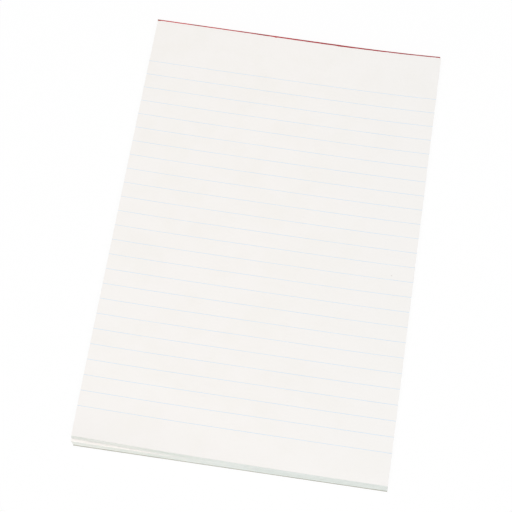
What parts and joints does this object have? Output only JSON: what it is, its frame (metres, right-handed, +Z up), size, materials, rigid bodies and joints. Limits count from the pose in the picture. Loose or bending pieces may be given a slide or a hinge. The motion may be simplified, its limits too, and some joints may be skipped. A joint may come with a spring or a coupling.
{
  "type": "ruled writing pad",
  "caption": "White ruled top-bound writing pad: gummed head, chipboard back, and loose leaves that curl up at one foot corner.",
  "frame": {"origin": "on the surface that the pad lies on, under the middle of the whole pad", "axes": "+Z up out of the top leaf, +Y to the gummed head, +X to a reader's right"},
  "size_m": [0.1274, 0.2038, 0.0095],
  "materials": {
    "leaves": "matt uncoated writing paper",
    "board": "matt grey-brown chipboard with fibre flecks",
    "gum": "satin red padding gum, brushed on",
    "ink": "matt pale blue ruling ink"
  },
  "bodies": {
    "root": {"paper_block": "leaves", "backing_board": "board", "padding_glue": "gum", "ruled_lines": "ink"}
  },
  "joints": []
}
